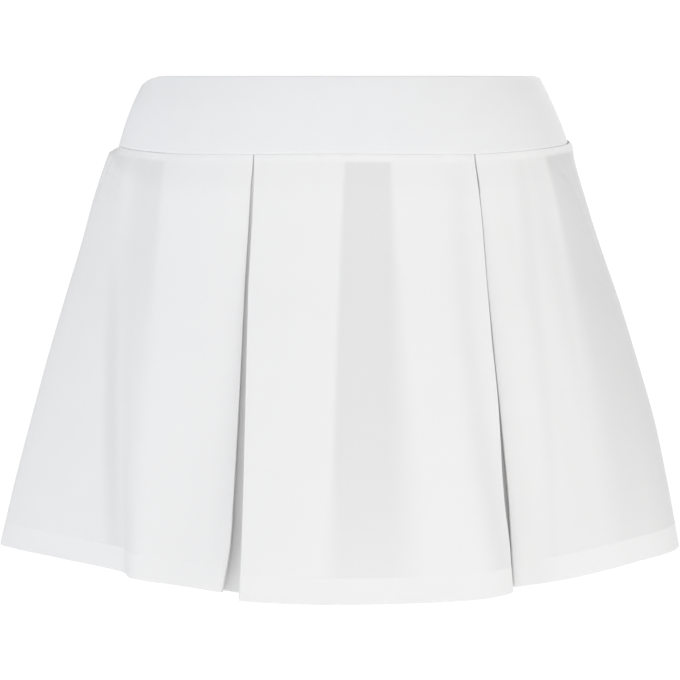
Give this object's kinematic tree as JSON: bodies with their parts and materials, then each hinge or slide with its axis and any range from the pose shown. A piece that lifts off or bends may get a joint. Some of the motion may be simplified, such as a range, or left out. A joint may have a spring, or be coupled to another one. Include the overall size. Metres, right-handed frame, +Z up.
{
  "type": "tennis skirt",
  "caption": "Flared white tennis skirt with a wide waistband and a box pleat to either side of the centre front, filled out as worn, open at the waist and the hem.",
  "frame": {"origin": "middle of the ring of the waistband, half way down it, where the wearer's waist holds it", "axes": "+Z up the wearer, -Y to the front of the figure, +X to the viewer's right of the front"},
  "size_m": [0.4671, 0.3288, 0.3378],
  "materials": {
    "band_knit": "smooth matt double knit",
    "skirt_weave": "fine matt weave"
  },
  "bodies": {
    "root": {"waistband_front": "band_knit", "waistband_back": "band_knit", "centre_front_panel": "skirt_weave", "left_front_panel": "skirt_weave", "right_front_panel": "skirt_weave", "left_pleat_underlay": "skirt_weave", "right_pleat_underlay": "skirt_weave", "back_panel": "skirt_weave"}
  },
  "joints": []
}
